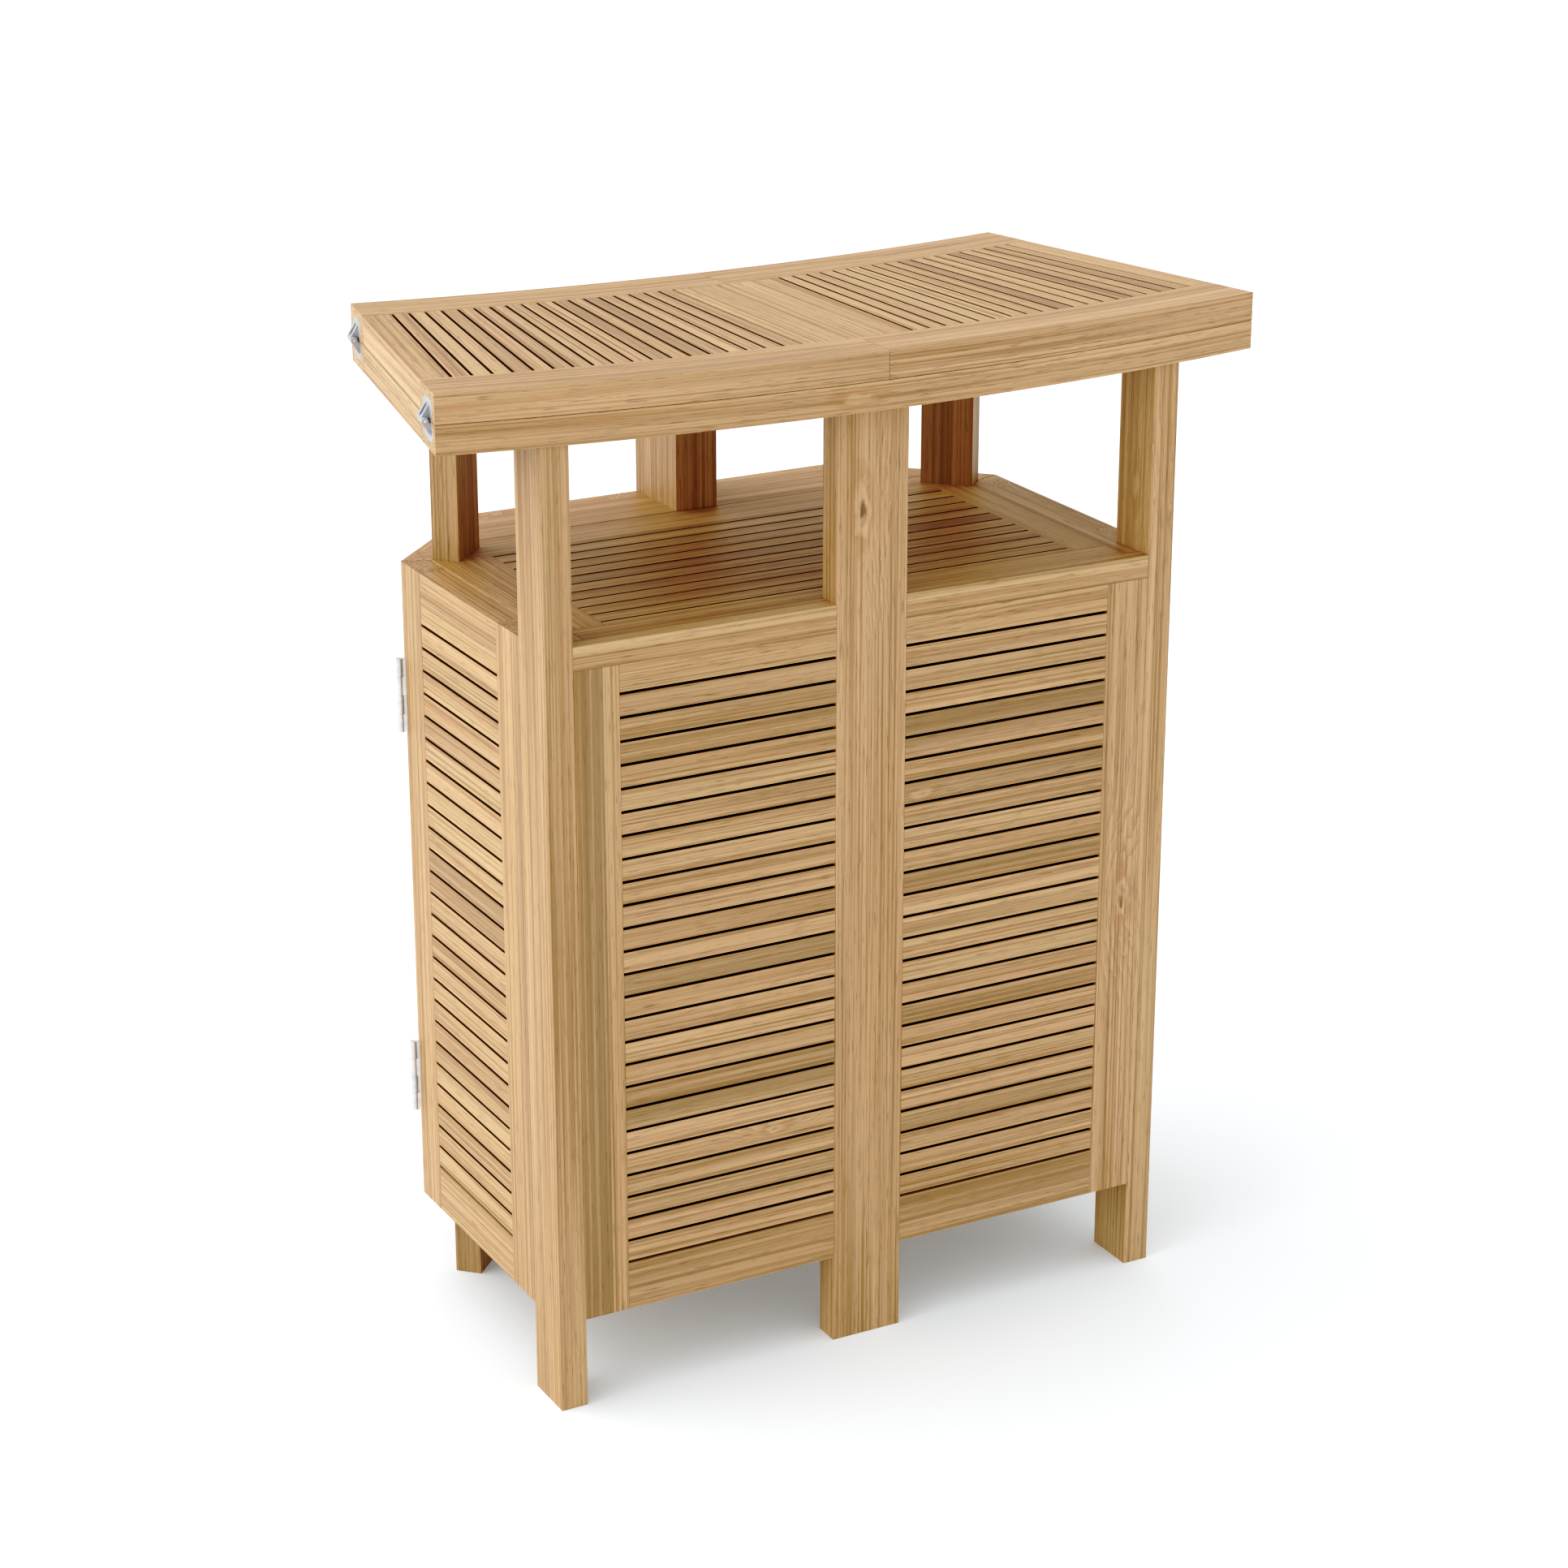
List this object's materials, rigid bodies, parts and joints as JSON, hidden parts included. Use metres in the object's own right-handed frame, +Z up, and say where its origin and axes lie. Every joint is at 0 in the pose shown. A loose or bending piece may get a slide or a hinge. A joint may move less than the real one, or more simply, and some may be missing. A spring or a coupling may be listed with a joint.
{
  "type": "folding bar cabinet",
  "caption": "Slatted teak bar cabinet with a curved flip-over top, an open serving shelf and a swinging rear gate.",
  "frame": {"origin": "on the floor, on the mirror plane, midway between the front face and the rear face", "axes": "+Z up, -Y towards the curved front, +X to the right as seen from the front"},
  "size_m": [0.9388, 0.5207, 1.1],
  "materials": {
    "teak_frame": "satin",
    "teak_slats": "satin",
    "teak_top": "satin",
    "teak_shelf": "satin",
    "hinge_steel": "satin",
    "catch_plastic": "matte"
  },
  "bodies": {
    "cabinet": {"front_left_post": "teak_frame", "front_centre_post": "teak_frame", "front_right_post": "teak_frame", "rear_left_post": "teak_frame", "rear_right_post": "teak_frame", "front_beams": "teak_frame", "front_stiles": "teak_frame", "front_rails": "teak_frame", "front_left_slats": "teak_slats", "front_right_slats": "teak_slats", "left_side_stiles": "teak_frame", "left_side_rails": "teak_frame", "left_side_slats": "teak_slats", "right_side_stiles": "teak_frame", "right_side_rails": "teak_frame", "right_side_slats": "teak_slats", "shelf_cross_boards": "teak_shelf", "shelf_end_boards": "teak_shelf", "shelf_side_strips": "teak_shelf", "shelf_slats": "teak_shelf", "shelf_bearers": "teak_frame", "middle_shelf_slats": "teak_shelf", "bottom_shelf_slats": "teak_shelf", "lower_front_rail": "teak_top", "lower_rear_rail": "teak_top", "lower_lipping": "teak_top", "lower_end_boards": "teak_top", "lower_centre_board": "teak_top", "lower_left_slats": "teak_top", "lower_right_slats": "teak_top", "leaf_hinge_fixed_plates": "hinge_steel", "leaf_hinge_pins": "hinge_steel", "gate_hinge_fixed_leaves": "hinge_steel", "gate_hinge_pins": "hinge_steel", "cabinet_hinge_screws": "hinge_steel", "gate_catch": "catch_plastic"},
    "leaf": {"upper_front_rails": "teak_top", "upper_rear_rails": "teak_top", "upper_lipping": "teak_top", "upper_end_boards": "teak_top", "upper_centre_board": "teak_top", "upper_left_slats": "teak_top", "upper_right_slats": "teak_top", "leaf_hinge_moving_plates": "hinge_steel", "leaf_hinge_screws": "hinge_steel"},
    "gate": {"gate_post": "teak_frame", "left_corner_stiles": "teak_frame", "left_corner_rails": "teak_frame", "left_corner_slats": "teak_slats", "right_corner_stiles": "teak_frame", "right_corner_rails": "teak_frame", "right_corner_slats": "teak_slats", "rear_stiles": "teak_frame", "rear_rails": "teak_frame", "rear_left_slats": "teak_slats", "rear_right_slats": "teak_slats", "gate_ledges": "teak_shelf", "gate_hinge_moving_leaves": "hinge_steel", "gate_hinge_screws": "hinge_steel", "gate_strike_plate": "hinge_steel"}
  },
  "joints": [
    {"name": "leaf_hinge", "type": "hinge", "parent": "cabinet", "child": "leaf", "pos_m": [-0.47215, -0.21374, 1.07], "axis": [-0.1951, -0.9808, 0], "range_deg": [0, 180]},
    {"name": "gate_hinge", "type": "hinge", "parent": "cabinet", "child": "gate", "pos_m": [-0.37108, 0.1301, 0.455], "axis": [0, 0, 1], "range_deg": [0, 180]}
  ]
}
